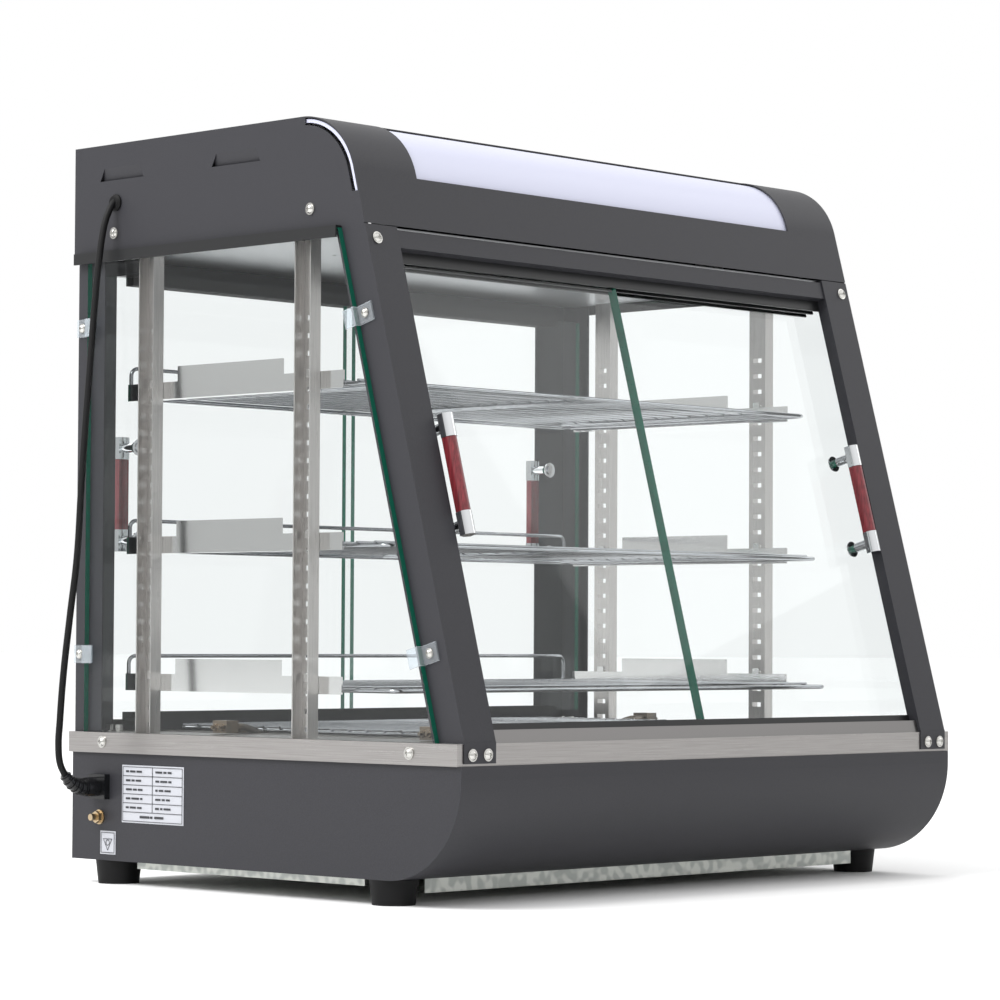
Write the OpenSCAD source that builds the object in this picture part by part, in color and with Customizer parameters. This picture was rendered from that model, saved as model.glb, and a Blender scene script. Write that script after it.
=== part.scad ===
// Countertop hot food display case: a heated base, a glazed cabinet with three wire shelves and
// sliding doors at the front and the rear, and a hood with a lit sign across its curved front.
// X runs left to right as seen from the front, Y runs to the rear and Z up. The origin is on the
// table, under the middle of the case. Lengths are in millimetres.

/* [Case] */
// Width over the stainless trim
case_w = 660; // [640:5:700]
// Depth over the stainless trim
case_d = 484; // [480:2:500]
// Height of the feet
foot_h = 21; // [21:1:26]
// Height of the underside of the trim
trim_z = 116; // [112:1:124]
// Height of the trim band
trim_h = 18; // [16:1:20]
// Height of the top of the glazed cabinet
glass_top = 562; // [555:1:580]
// Height of the hood above the cabinet
hood_h = 96; // [90:1:104]
// Radius of the hood's curved front
hood_r = 65; // [60:1:70]
// Radius of the base's curved front
base_r = 84; // [78:1:88]

/* [Glazing] */
// Thickness of every pane
glass_t = 5; // [4:0.5:5]
// Distance of each front handle from the middle of the case
handle_x = 278; // [270:1:280]
// Length of a door handle with its chrome ends
handle_len = 104; // [90:1:120]

/* [Shelves] */
// Hanging slot of each shelf, counted up from the lowest one
shelf_slots = [0, 8, 17];
// Front edge of each shelf, from the lowest shelf up
shelf_front = [-131, -120, -105];
// Distance between the hanging slots
slot_pitch = 15.2; // [15:0.1:15.3]
// Distance between the shelf wires
wire_pitch = 21.5; // [18:0.5:26]
// Diameter of the shelf wires
wire_d = 2.6; // [2:0.1:3]

/* [Hidden] */
$fn = 48;

// Finishes
charcoal = "#46464b";
steel = "#a8a6a3";
zinc = "#c3c6c0";
black = "#1b1b1d";
clear_green = [0.7, 0.9, 0.84, 0.35];
mahogany = "#782d32";
chrome_grey = "#d5d7da";

// Sheet metal and the planes that everything hangs from
sheet = 1.2;
half_w = case_w / 2;
shell_x = half_w - 3;
post_x = half_w - 7;
front_y = -case_d / 2;
rear_y = case_d / 2;
shell_rear = rear_y - 2;
deck_top = trim_z + trim_h;
case_h = glass_top + hood_h;
hood_rear = rear_y + 7;

// The front leans back from the trim to the hood
post_top_y = -125.5;
lean = atan((post_top_y - front_y + sheet) / (glass_top - deck_top));
slope_len = (glass_top - deck_top) / cos(lean);
hood_cz = case_h - hood_r;
hood_cy = post_top_y + (hood_cz - glass_top) * tan(lean) + hood_r / cos(lean);

// Base shell
base_cz = trim_z - 11;
base_front = front_y - 2;
base_cy = base_front + base_r;

// Posts
post_face = 37;
post_return = 11.4;
post_flange = 34;
post_in = post_x - post_face;
rear_face = 43;

// Sliding tracks: three walls with a groove for the outer pane and one for the inner pane
track_w = 18;
track_floor = 2;
track_n = 10;
track_low_s = 12 - slope_len;
track_top_s = -18;
groove = 6.5;
wall = 1.5;
rib = track_w - 2 * wall - 2 * groove;
low_wall = 5;
high_wall = 8;
outer_n = track_n + wall + (groove - glass_t) / 2;
inner_n = outer_n + groove + rib;
rear_track_y = rear_y - 14;
rear_low_z = deck_top + 10;
rear_top_z = glass_top - 16;
pane_x = post_in + 20;
pane_clear = 0.4;
front_overlap = [-5, 0];
rear_overlap = [3, -17];

// Handles
grip_len = handle_len - 40;
stand_off = 14.5;
front_handle_s = -218;
rear_handle_z = 348;
bar_w = 11;

// Side glazing
glass_edge_n = 27;
glass_rear = rear_y - 18;

// Shelf hangers
first_slot_z = 171.3;
bracket_z = [for (k = shelf_slots) first_slot_z - 0.3 + k * slot_pitch];
upright_x = post_x - 25;
upright_y = [-37, 165];
rack_half = upright_x - 9;
rack_rear = 204;
rod_d = 4;
rail_h = 27;

// Heated deck
well_x = 258;
well_y = 190;
well_z = deck_top - 22;
heater_y = [-165, 90];
terminal_x = 279;

// Controls on the rear of the base
control_z = 68;
knob_x = 200;
switch_x = [90, 130];
rocker_tilt = 8;
rocker_pivot_y = shell_rear - 4;
inlet_x = -190;

// Lamp lead, from the hood's grommet down to the gland on the base
lead_d = 6;
lead_route = [
    [-321, 192, 609], [-326.5, 192, 604], [-331, 192, 597], [-335, 192.5, 587], [-338, 193, 573],
    [-341, 193.5, 551], [-344.5, 194, 517], [-347, 194.5, 485], [-350, 195, 445], [-353.5, 195.5, 400],
    [-357, 196, 345], [-360.5, 196.5, 288], [-367, 197.5, 236], [-373, 198.5, 184], [-375.5, 199.5, 145],
    [-376, 200.5, 122], [-373.5, 201, 107], [-368, 201, 97]
];
boot_route = [
    [-346, 200, 86], [-352, 200, 86.5], [-358, 200.3, 88.5], [-363.5, 200.6, 92], [-368, 201, 97]
];
gland_at = [-shell_x, 200, 86];
grommet_at = [-post_x, 192, 605];

// ---- helpers ----

// Children drawn in the plane of the front posts: X across, Y inwards and Z up the slope
module on_slope() {
    translate([0, post_top_y, glass_top]) rotate([-lean, 0, 0]) children();
}

// A (Y, Z) outline extruded along X from x0
module along_x(x0, length) {
    translate([x0, 0, 0]) rotate([90, 0, 90]) linear_extrude(length) children();
}

// An (X, Z) outline extruded along Y from y0
module along_y(y0, length) {
    translate([0, y0 + length, 0]) rotate([90, 0, 0]) linear_extrude(length) children();
}

module both_sides() {
    children();
    mirror([1, 0, 0]) children();
}

module rod_x(y, z, half, d) {
    translate([-half, y, z]) rotate([0, 90, 0]) cylinder(d = d, h = 2 * half, $fn = 16);
}

module rod_y(x, z, y0, y1, d) {
    translate([x, y0, z]) rotate([-90, 0, 0]) cylinder(d = d, h = y1 - y0, $fn = 16);
}

// Part of a bent rod: a ring segment about Z
module bend(r, d, start, angle) {
    rotate([0, 0, start]) rotate_extrude(angle = angle) translate([r, 0]) circle(d = d, $fn = 16);
}

// Points along a smooth curve through a route, n steps between neighbours
function curve_at(p, i, t) =
    let (a = p[max(i - 1, 0)], b = p[i], c = p[i + 1], d = p[min(i + 2, len(p) - 1)])
    0.5 * (2 * b + (c - a) * t + (2 * a - 5 * b + 4 * c - d) * t * t
        + (3 * b - a - 3 * c + d) * t * t * t);
function smooth(p, n) = concat(
    [for (i = [0:len(p) - 2]) for (j = [0:n - 1]) curve_at(p, i, j / n)],
    [p[len(p) - 1]]
);
function unit(v) = v / norm(v);
function heading(p, i) = unit(p[min(i + 1, len(p) - 1)] - p[max(i - 1, 0)]);

// A tube along a path, with one radius for each point of the path
module tube(path, radii, sides) {
    rings = [for (i = [0:len(path) - 1])
        let (t = heading(path, i), u = unit(cross(t, [0, 1, 0])), v = cross(t, u))
        for (k = [0:sides - 1])
            let (a = 360 * k / sides)
            path[i] + radii[i] * (cos(a) * u + sin(a) * v)];
    skin = [for (i = [0:len(path) - 2]) for (k = [0:sides - 1])
        let (m = (k + 1) % sides)
        [i * sides + k, i * sides + m, (i + 1) * sides + m, (i + 1) * sides + k]];
    first = [for (k = [0:sides - 1]) sides - 1 - k];
    last = [for (k = [0:sides - 1]) (len(path) - 1) * sides + k];
    polyhedron(rings, concat([first], skin, [last]), convexity = 8);
}

// A pan-head screw with its washer, standing out along +Z
module screw(d = 8, washer = 10.4) {
    dome = d * 0.58;
    difference() {
        union() {
            cylinder(d = washer, h = 1.1);
            intersection() {
                translate([0, 0, 3.6 - dome]) sphere(r = dome);
                translate([0, 0, 0.5]) cylinder(d = d, h = 4);
            }
        }
        for (a = [0, 90]) rotate([0, 0, a]) translate([-d * 0.25, -0.45, 2.3]) cube([d * 0.5, 0.9, 2]);
    }
}

// ---- base ----

// The side view of the base, shrunk all round by inset
module base_outline(inset = 0) {
    r = base_r - inset;
    translate([base_cy, base_cz]) circle(r = r, $fn = 128);
    translate([base_cy - r, base_cz]) square([r + 10, trim_z - base_cz - inset]);
    translate([base_cy, base_cz - r]) square([shell_rear - inset - base_cy, r + trim_z - base_cz - inset]);
}

module base_section(inset = 0) {
    intersection() {
        base_outline(inset);
        translate([base_front - 5, foot_h]) square([case_d + 20, trim_z - foot_h]);
    }
}

module front_apron() {
    color(charcoal) along_x(sheet - shell_x, 2 * (shell_x - sheet)) intersection() {
        difference() {
            base_section(0);
            base_outline(sheet);
        }
        translate([base_front - 5, 0]) square([base_r + 30, trim_z - 0.01]);
    }
}

// A base side: the profiled plate with a folded lip along its top
module base_side() {
    along_x(shell_x - sheet, sheet) base_section(0);
    translate([shell_x - sheet - 12, base_front + 20, trim_z - sheet]) cube([12.5, case_d - 45, sheet]);
}

module base_side_left() {
    color(charcoal) difference() {
        mirror([1, 0, 0]) base_side();
        translate(gland_at) rotate([0, 90, 0]) cylinder(r = 8.5, h = 10, center = true);
        translate([-shell_x, 202, 59]) rotate([0, 90, 0]) cylinder(r = 3.2, h = 10, center = true);
    }
}

module base_side_right() {
    color(charcoal) base_side();
}

module base_rear_panel() {
    color(charcoal) difference() {
        translate([sheet - shell_x, shell_rear - sheet, foot_h]) {
            cube([2 * (shell_x - sheet), sheet, trim_z - foot_h - 0.1]);
        }
        translate([knob_x, shell_rear, control_z]) rotate([90, 0, 0]) cylinder(r = 5, h = 6, center = true);
        for (x = switch_x) translate([x - 10.6, shell_rear - 5, control_z - 7.6]) cube([21.2, 10, 15.2]);
        translate([inlet_x - 13.7, shell_rear - 5, control_z - 10]) cube([27.4, 10, 20]);
        for (k = [0:6]) translate([-80 + k * 14, shell_rear - 5, control_z - 16]) cube([5, 10, 32]);
    }
}

// Outline of the galvanised pan, notched at its corners for the feet
module pan_outline(inset) {
    a = 312 - inset;
    b = 282 - inset;
    y0 = -148 + inset;
    y1 = -119 + inset;
    y2 = 168 - inset;
    y3 = 226 - inset;
    polygon([[-b, y0], [b, y0], [b, y1], [a, y1], [a, y2], [b, y2], [b, y3], [-b, y3], [-b, y2],
        [-a, y2], [-a, y1], [-b, y1]]);
}

module bottom_pan() {
    color(zinc) {
        difference() {
            translate([0, 0, foot_h - 7]) linear_extrude(7) pan_outline(0);
            translate([0, 0, foot_h - 6]) linear_extrude(7) pan_outline(1);
        }
        along_x(-285, 570) polygon([[-162, 9], [-152, 9], [-152, 10.2], [-160.8, 10.2], [-160.8, 20],
            [-150, 20], [-150, 21], [-162, 21]]);
    }
}

module feet() {
    color(black) for (x = [-307, 307]) for (y = [-148, 199]) translate([x, y, 0]) difference() {
        cylinder(d1 = 36, d2 = 41, h = foot_h);
        translate([0, 0, -1]) cylinder(d = 12, h = 9);
    }
}

module deck_frame() {
    color(steel) difference() {
        translate([-half_w, front_y, trim_z]) cube([case_w, case_d, trim_h]);
        translate([-half_w + sheet, front_y + sheet, trim_z - 1]) {
            cube([case_w - 2 * sheet, case_d - 2 * sheet, trim_h + 1 - sheet]);
        }
        translate([-well_x, -well_y, trim_z]) cube([2 * well_x, 2 * well_y, trim_h + 5]);
    }
}

module heater_tray() {
    color(steel) difference() {
        union() {
            translate([-well_x + 0.4, -well_y + 0.4, well_z]) {
                cube([2 * well_x - 0.8, 2 * well_y - 0.8, deck_top - well_z + 0.5]);
            }
            translate([-well_x - 5, -well_y - 5, deck_top]) cube([2 * well_x + 10, 2 * well_y + 10, 0.8]);
        }
        translate([-well_x + 1.6, -well_y + 1.6, well_z + sheet]) {
            cube([2 * well_x - 3.2, 2 * well_y - 3.2, 40]);
        }
    }
}

// Each element is a hairpin whose two legs rise out of the well into one terminal block
function leg(side) = [
    [-terminal_x + 7, side * 4, deck_top + 6], [-terminal_x + 16, side * 4.6, deck_top + 6],
    [-terminal_x + 28, side * 9, deck_top + 2], [-terminal_x + 44, side * 15, deck_top - 8],
    [-terminal_x + 70, side * 18, deck_top - 11], [0, side * 18, deck_top - 11]
];
function mirrored(p) = [for (i = [len(p) - 2:-1:0]) [-p[i][0], p[i][1], p[i][2]]];

module heater_tubes() {
    color("#6d6a68") for (y = heater_y) for (side = [-1, 1]) {
        path = smooth(concat(leg(side), mirrored(leg(side))), 2);
        translate([0, y, 0]) tube(path, [for (p = path) 3.2], 10);
    }
}

module heater_terminals() {
    color("#8d8b88") both_sides() for (y = heater_y) translate([terminal_x, y, deck_top]) {
        translate([-7, -9, 0.9]) cube([14, 18, 11]);
        for (dy = [-4, 4]) {
            translate([6, dy, 6]) rotate([0, 90, 0]) cylinder(d = 6.4, h = 4, $fn = 6);
            translate([9, dy, 6]) rotate([0, 90, 0]) cylinder(d = 3, h = 4);
        }
    }
}

// ---- wire racks ----

module rack(half, y0, y1, supports, r_corner = 10) {
    lift = (rod_d + wire_d) / 2 - 0.5;
    for (y = [y0, y1]) rod_x(y, 0, half - r_corner, rod_d);
    for (x = [-half, half]) rod_y(x, 0, y0 + r_corner, y1 - r_corner, rod_d);
    for (c = [[-1, y0, 180], [1, y0, 270], [1, y1, 0], [-1, y1, 90]]) {
        translate([c[0] * (half - r_corner), c[1] + (c[1] == y0 ? r_corner : -r_corner), 0]) {
            bend(r_corner, rod_d, c[2], 90);
        }
    }
    count = floor((y1 - y0 - 14) / wire_pitch);
    for (i = [0:count]) rod_x(y1 - 8 - i * wire_pitch, lift, half + rod_d / 2, wire_d);
    for (x = supports) hairpin(x, y0, y1 - 36);
}

// A support bent from one rod: two runs under the wires joined by a round end at the rear
module hairpin(x, y0, y1) {
    for (dx = [-6, 6]) rod_y(x + dx, 0, y0, y1, rod_d * 0.75);
    translate([x, y1, 0]) bend(6, rod_d * 0.75, 0, 180);
}

// The upright loop along the rear of a shelf that stops food sliding off
module guard_rail(half) {
    r = 7;
    d = 3.6;
    for (z = [0, rail_h]) rod_x(0, z, half - r, d);
    for (x = [-half, half]) translate([x, 0, r]) cylinder(d = d, h = rail_h - 2 * r, $fn = 16);
    for (c = [[-1, r, 180], [1, r, 270], [1, rail_h - r, 0], [-1, rail_h - r, 90]]) {
        translate([c[0] * (half - r), 0, c[1]]) rotate([90, 0, 0]) bend(r, d, c[2], 90);
    }
}

module shelf(k) {
    color(chrome_grey) translate([0, 0, bracket_z[k] + 1.5 + rod_d / 2]) {
        rack(rack_half - 2, shelf_front[k], rack_rear, [-250, 0, 250]);
        translate([0, rack_rear + 5, 0]) guard_rail(rack_half);
    }
}

module shelf_bottom() {
    shelf(0);
}

module shelf_middle() {
    shelf(1);
}

module shelf_top() {
    shelf(2);
}

module floor_rack() {
    color(chrome_grey) translate([0, 0, deck_top + 0.8 + rod_d / 2]) {
        rack(244, -well_y - 3, well_y + 3, [-150, 150]);
    }
}

module uprights() {
    top = glass_top - 3;
    slots = floor((490 - deck_top) / slot_pitch);
    color(steel) both_sides() for (y = upright_y) translate([upright_x, y - 10, deck_top]) difference() {
        cube([12, 20, top - deck_top]);
        translate([sheet, sheet, -1]) cube([12, 20 - 2 * sheet, top]);
        for (k = [-2:slots - 2]) {
            translate([-1, 4.75, first_slot_z + k * slot_pitch - deck_top - 2.1]) cube([4, 10.5, 4.2]);
        }
    }
}

// A bracket hangs from one slot of the front and one of the rear upright
module bracket() {
    t = 1.5;
    along_x(upright_x - t - 0.2, t) polygon([[-75, 0], [203, 0], [203, 15], [136, 15], [136, 28.5],
        [0, 28.5], [0, 15], [-75, 15]]);
    translate([upright_x - 12, -36, 0]) cube([11, 209, t]);
    for (y = upright_y) {
        translate([upright_x - t - 0.2, y - 4, 14]) cube([t, 8, 6]);
        translate([upright_x - 0.5, y - 4, slot_pitch - 1.2]) cube([4, 8, 3]);
        translate([upright_x + 2, y - 4, slot_pitch - 5]) cube([1.5, 8, 5]);
    }
}

module shelf_brackets() {
    color(steel) both_sides() for (z = bracket_z) translate([0, 0, z]) bracket();
}

// ---- cabinet frame ----

module front_post() {
    intersection() {
        on_slope() translate([0, 0, -slope_len - 15]) linear_extrude(slope_len + 30) difference() {
            translate([post_in, 0]) square([post_face, post_flange]);
            translate([post_in + sheet, sheet]) square([post_face - 2 * sheet, post_flange]);
            translate([post_in - 1, post_return]) square([sheet + 1.5, post_flange]);
        }
        translate([0, front_y - 20, deck_top + 0.2]) cube([half_w, 200, glass_top - deck_top - 0.2]);
    }
    foot_bottom = trim_z + 2;
    difference() {
        translate([post_in, front_y - sheet, foot_bottom]) cube([post_face, sheet, deck_top + 1.5 - foot_bottom]);
        for (x = [10, 28]) translate([post_in + x, front_y, trim_z + 9]) {
            rotate([90, 0, 0]) cylinder(r = 2.6, h = 6, center = true);
        }
    }
}

module front_posts() {
    color(charcoal) both_sides() front_post();
}

module rear_posts() {
    color(charcoal) both_sides() translate([0, 0, deck_top]) linear_extrude(glass_top - deck_top) difference() {
        translate([post_x - rear_face, rear_y - 36]) square([rear_face, 36]);
        translate([post_x - rear_face - 1, rear_y - 37]) square([rear_face + 1 - sheet, 37 - sheet]);
    }
}

module front_header() {
    color(charcoal) on_slope() along_x(-post_in, 2 * post_in) polygon([[1.5, track_top_s],
        [track_n + track_w, track_top_s], [track_n + track_w, track_top_s + sheet],
        [1.5 + sheet, track_top_s + sheet], [1.5 + sheet, -2], [1.5, -2]]);
}

module rear_header() {
    w = post_x - rear_face;
    color(charcoal) along_x(-w, 2 * w) polygon([[rear_track_y - track_w, rear_top_z],
        [rear_y, rear_top_z], [rear_y, glass_top], [rear_y - sheet, glass_top],
        [rear_y - sheet, rear_top_z + sheet], [rear_track_y - track_w, rear_top_z + sheet]]);
}

// The stainless sill folds over from the deck and carries the front track
module front_sill() {
    color(steel) intersection() {
        on_slope() along_x(-post_in, 2 * post_in) translate([0, track_low_s]) difference() {
            translate([3, -30]) square([28, 30]);
            translate([3 + sheet, -30 - sheet]) square([28 - 2 * sheet, 30]);
        }
        translate([-half_w, front_y, deck_top]) cube([case_w, 60, 40]);
    }
}

module rear_sill() {
    w = post_x - rear_face;
    color(charcoal) along_x(-w, 2 * w) difference() {
        translate([rear_track_y - track_w, deck_top]) square([rear_y - rear_track_y + track_w, 10]);
        translate([rear_track_y - track_w + sheet, deck_top - 1]) {
            square([rear_y - rear_track_y + track_w - 2 * sheet, 11 - sheet]);
        }
    }
}

// The track's profile in (Y, Z), with its floor at Z = 0 and its walls standing up
module track_profile(wall_h) {
    square([track_w, track_floor]);
    for (y = [0, wall + groove, track_w - wall]) {
        square_w = (y == wall + groove) ? rib : wall;
        translate([y, 0]) square([square_w, track_floor + wall_h]);
    }
}

module lower_tracks() {
    w = post_x - rear_face;
    color(black) {
        on_slope() translate([0, track_n, track_low_s]) along_x(-post_in, 2 * post_in) {
            track_profile(low_wall);
        }
        translate([0, rear_track_y - track_w, rear_low_z]) along_x(-w, 2 * w) track_profile(low_wall);
    }
}

module upper_tracks() {
    w = post_x - rear_face;
    color(black) {
        on_slope() translate([0, track_n, track_top_s]) along_x(-post_in, 2 * post_in) {
            mirror([0, 1]) track_profile(high_wall);
        }
        translate([0, rear_track_y - track_w, rear_top_z]) along_x(-w, 2 * w) {
            mirror([0, 1]) track_profile(high_wall);
        }
    }
}

// Y of the front plane at height z and distance n behind it
function front_at(z, n) = post_top_y + n / cos(lean) - (glass_top - z) * tan(lean);

module side_glass() {
    top = glass_top - 2;
    along_x(post_x, glass_t) polygon([[front_at(deck_top, glass_edge_n), deck_top], [glass_rear, deck_top],
        [glass_rear, top], [front_at(top, glass_edge_n), top]]);
}

module side_glass_left() {
    color(clear_green) mirror([1, 0, 0]) side_glass();
}

module side_glass_right() {
    color(clear_green) side_glass();
}

module glass_channels() {
    x1 = post_x + glass_t + 0.2;
    y0 = front_at(glass_top, glass_edge_n);
    color(black) both_sides() along_y(y0, rear_y - y0) polygon([[post_x, glass_top - 1.6], [x1, glass_top - 1.6],
        [x1, glass_top - 10], [x1 + 1.6, glass_top - 10], [x1 + 1.6, glass_top], [post_x, glass_top]]);
}

// A stepped clip: one end is screwed to the post's flange, the other laps over the glass
module clip(edge) {
    t = 1.8;
    x1 = post_x + glass_t;
    linear_extrude(16) polygon([[post_x, edge - 18], [post_x + t, edge - 18], [post_x + t, edge - t],
        [x1 + t, edge - t], [x1 + t, edge + 11], [x1, edge + 11], [x1, edge], [post_x, edge]]);
}

clip_front_s = [-372, -81];
clip_rear_z = [195, 487];

module glass_clips() {
    color([0.85, 0.88, 0.9, 0.5]) both_sides() {
        for (s = clip_front_s) on_slope() translate([0, 0, s]) clip(glass_edge_n);
        for (z = clip_rear_z) translate([0, rear_y, z]) mirror([0, 1, 0]) clip(rear_y - glass_rear);
    }
}

module frame_screws() {
    color("#c9c9c9") both_sides() {
        for (x = [10, 28]) translate([post_in + x, front_y - sheet, trim_z + 9]) rotate([90, 0, 0]) screw();
        on_slope() translate([post_x - 11, 0, -12]) rotate([90, 0, 0]) screw();
        for (y = [-188, 196]) translate([half_w, y, trim_z + 9.5]) rotate([0, 90, 0]) screw();
        for (p = [[194, 578], [-60, 579]]) translate([post_x, p[0], p[1]]) rotate([0, 90, 0]) screw();
        for (s = clip_front_s) on_slope() translate([post_x + 1.8, glass_edge_n - 10, s + 8]) {
            rotate([0, 90, 0]) screw(7, 8.5);
        }
        for (z = clip_rear_z) translate([post_x + 1.8, glass_rear + 10, z + 8]) rotate([0, 90, 0]) screw(7, 8.5);
        for (y = [209, 222]) translate([post_x - 23, y, deck_top]) {
            cylinder(d = 11, h = 1);
            cylinder(d = 7.5, h = 6, $fn = 6);
        }
    }
}

// ---- sliding doors ----

// Handle bar outline, rounded towards the user, with its flat back at Y = 0
module bar_outline(grow = 0) {
    w = bar_w + grow;
    translate([-w / 2, -4.5]) square([w, 4.5]);
    translate([0, -4.5]) circle(d = w);
}

// Doors are drawn with Y inwards from the outer face of the pane and Z up from the pane's foot
module grip(x, z) {
    color(mahogany) translate([x, -stand_off, z - grip_len / 2 + 0.1]) {
        linear_extrude(grip_len - 0.2) bar_outline(0);
    }
}

module caps(x, z) {
    end = (handle_len - grip_len) / 2;
    color(chrome_grey) for (side = [-1, 1]) translate([x, 0, z + side * (grip_len + end) / 2]) {
        translate([0, -stand_off, -end / 2]) linear_extrude(end) bar_outline(1);
        translate([0, -0.1, 0]) rotate([90, 0, 0]) cylinder(d = 9, h = stand_off + 1);
        translate([0, glass_t + 1, 0]) rotate([90, 0, 0]) cylinder(d = 6, h = glass_t + 2);
        translate([0, glass_t + 1, 0]) rotate([90, 0, 0]) cylinder(d = 15, h = 0.9);
        translate([0, glass_t + 2.2, 0]) rotate([90, 0, 0]) cylinder(d = 9, h = 1.5);
    }
}

module pane(x0, x1, height, x, z) {
    end = (handle_len - grip_len) / 2;
    color(clear_green) difference() {
        translate([x0, 0, 0]) cube([x1 - x0, glass_t, height]);
        for (side = [-1, 1]) translate([x, glass_t / 2, z + side * (grip_len + end) / 2]) {
            rotate([90, 0, 0]) cylinder(d = 6.6, h = glass_t + 2, center = true);
        }
    }
}

front_foot_s = track_low_s + track_floor + pane_clear;
front_pane_h = track_top_s - track_floor - 1 - front_foot_s;
front_grip_z = front_handle_s - front_foot_s;
rear_foot_z = rear_low_z + track_floor + pane_clear;
rear_pane_h = rear_top_z - track_floor - 1 - rear_foot_z;
rear_grip_z = rear_handle_z - rear_foot_z;

module front_door(n) {
    on_slope() translate([0, n, front_foot_s]) children();
}

// Behind the case the outer face looks to the rear, so Y is mirrored
module rear_door(n) {
    translate([0, rear_track_y - (n - track_n), rear_foot_z]) mirror([0, 1, 0]) children();
}

module door_front_left() {
    front_door(outer_n) pane(-pane_x, front_overlap[0], front_pane_h, -handle_x, front_grip_z);
}

module grip_front_left() {
    front_door(outer_n) grip(-handle_x, front_grip_z);
}

module caps_front_left() {
    front_door(outer_n) caps(-handle_x, front_grip_z);
}

module door_front_right() {
    front_door(inner_n) pane(front_overlap[1], pane_x, front_pane_h, handle_x, front_grip_z);
}

module grip_front_right() {
    front_door(inner_n) grip(handle_x, front_grip_z);
}

module caps_front_right() {
    front_door(inner_n) caps(handle_x, front_grip_z);
}

rear_handle_x = handle_x - 8;
rear_pane_x = post_x - 8;

module door_rear_left() {
    rear_door(outer_n) pane(-rear_pane_x, rear_overlap[0], rear_pane_h, -rear_handle_x, rear_grip_z);
}

module grip_rear_left() {
    rear_door(outer_n) grip(-rear_handle_x, rear_grip_z);
}

module caps_rear_left() {
    rear_door(outer_n) caps(-rear_handle_x, rear_grip_z);
}

module door_rear_right() {
    rear_door(inner_n) pane(rear_overlap[1], rear_pane_x, rear_pane_h, rear_handle_x, rear_grip_z);
}

module grip_rear_right() {
    rear_door(inner_n) grip(rear_handle_x, rear_grip_z);
}

module caps_rear_right() {
    rear_door(inner_n) caps(rear_handle_x, rear_grip_z);
}

// ---- hood ----

// Points on the round front, inset below the surface, from the slanted front up to the top
function arc_at(inset) = [
    for (k = [0:36]) let (a = 180 - lean - k * (90 - lean) / 36)
    [hood_cy + (hood_r - inset) * cos(a), hood_cz + (hood_r - inset) * sin(a)]
];

function reversed(points) = [for (k = [len(points) - 1:-1:0]) points[k]];

// The layer of the curved front between two depths below its surface, from height low back to y end
module front_layer(a, b, low, end) {
    polygon(concat([[front_at(low, a), low]], arc_at(a), [[end, case_h - a], [end, case_h - b]],
        reversed(arc_at(b)), [[front_at(low, b), low]]));
}

// The side view of the hood, shrunk at the front, top and rear by inset
module hood_outline(inset = 0) {
    r = hood_r - inset;
    translate([hood_cy, hood_cz]) circle(r = r, $fn = 128);
    translate([hood_cy, glass_top]) square([hood_rear - inset - hood_cy, hood_h - inset]);
    polygon([[front_at(glass_top, inset), glass_top], arc_at(inset)[0],
        [hood_cy, hood_cz], [hood_cy, glass_top]]);
}

module hood_section(inset = 0) {
    intersection() {
        hood_outline(inset);
        translate([post_top_y - 10, glass_top]) square([case_d, hood_h + 10]);
    }
}

cover_seam_y = hood_cy + 22;
sign_gap = 7.5;
sign_z = glass_top + 28;

// A pressed louvre: a hooded slit, open along its lower edge
// The outline of a louvre pressed into the hood's side, wider at its open lower edge
module louvre_outline(y, length, grow = 0) {
    z = case_h - 27;
    polygon([[y - grow, z - 5.5], [y + length - 16 + grow, z - 5.5],
        [y + length - 22 + grow, z + 6 + grow], [y + 6 - grow, z + 6 + grow]]);
}

module louvre(y, length) {
    intersection() {
        along_y(y - 1, length) translate([post_x, case_h - 27]) {
            polygon([[0, 6.5], [0, 6], [-4, -5.5], [-5.2, -5.5], [-1.2, 6], [-1.2, 6.5]]);
        }
        along_x(post_x - 8, 10) louvre_outline(y, length, 0.5);
    }
}

louvres = [[155, 75], [3, 78]];

module hood_side() {
    difference() {
        along_x(post_x - sheet, sheet) difference() {
            hood_section(sheet);
            difference() {
                translate([post_top_y - 10, sign_z]) square([hood_cy - 3 - post_top_y + 10, 90]);
                hood_outline(sign_gap);
            }
        }
        for (s = louvres) along_x(post_x - 5, 10) louvre_outline(s[0], s[1]);
    }
    for (s = louvres) louvre(s[0], s[1]);
}

module hood_side_left() {
    color(charcoal) difference() {
        mirror([1, 0, 0]) hood_side();
        translate(grommet_at) rotate([0, 90, 0]) cylinder(r = 6, h = 10, center = true);
    }
}

module hood_side_right() {
    color(charcoal) hood_side();
}

module hood_shell() {
    color(charcoal) difference() {
        union() {
            translate([-post_x, cover_seam_y + 0.4, case_h - sheet]) {
                cube([2 * post_x, hood_rear - cover_seam_y - 0.4, sheet]);
            }
            translate([-post_x, hood_rear - sheet, glass_top]) cube([2 * post_x, sheet, hood_h]);
        }
        for (k = [0:7]) translate([-52.5 + k * 14, hood_rear - 5, case_h - 52]) cube([5, 10, 30]);
    }
}

module hood_cover() {
    window_x = half_w - 80;
    color(charcoal) difference() {
        along_x(-post_x, 2 * post_x) front_layer(0, sheet, glass_top + 0.8, cover_seam_y);
        translate([-window_x, post_top_y - 20, glass_top + 45]) {
            cube([2 * window_x, hood_cy - 6 - post_top_y + 20, 100]);
        }
    }
}

module light_diffuser() {
    w = post_x - sheet - 0.4;
    color("#f0f1fa") along_x(-w, 2 * w) front_layer(2.2, 5.2, sign_z - 6, hood_cy + 8);
}

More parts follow.
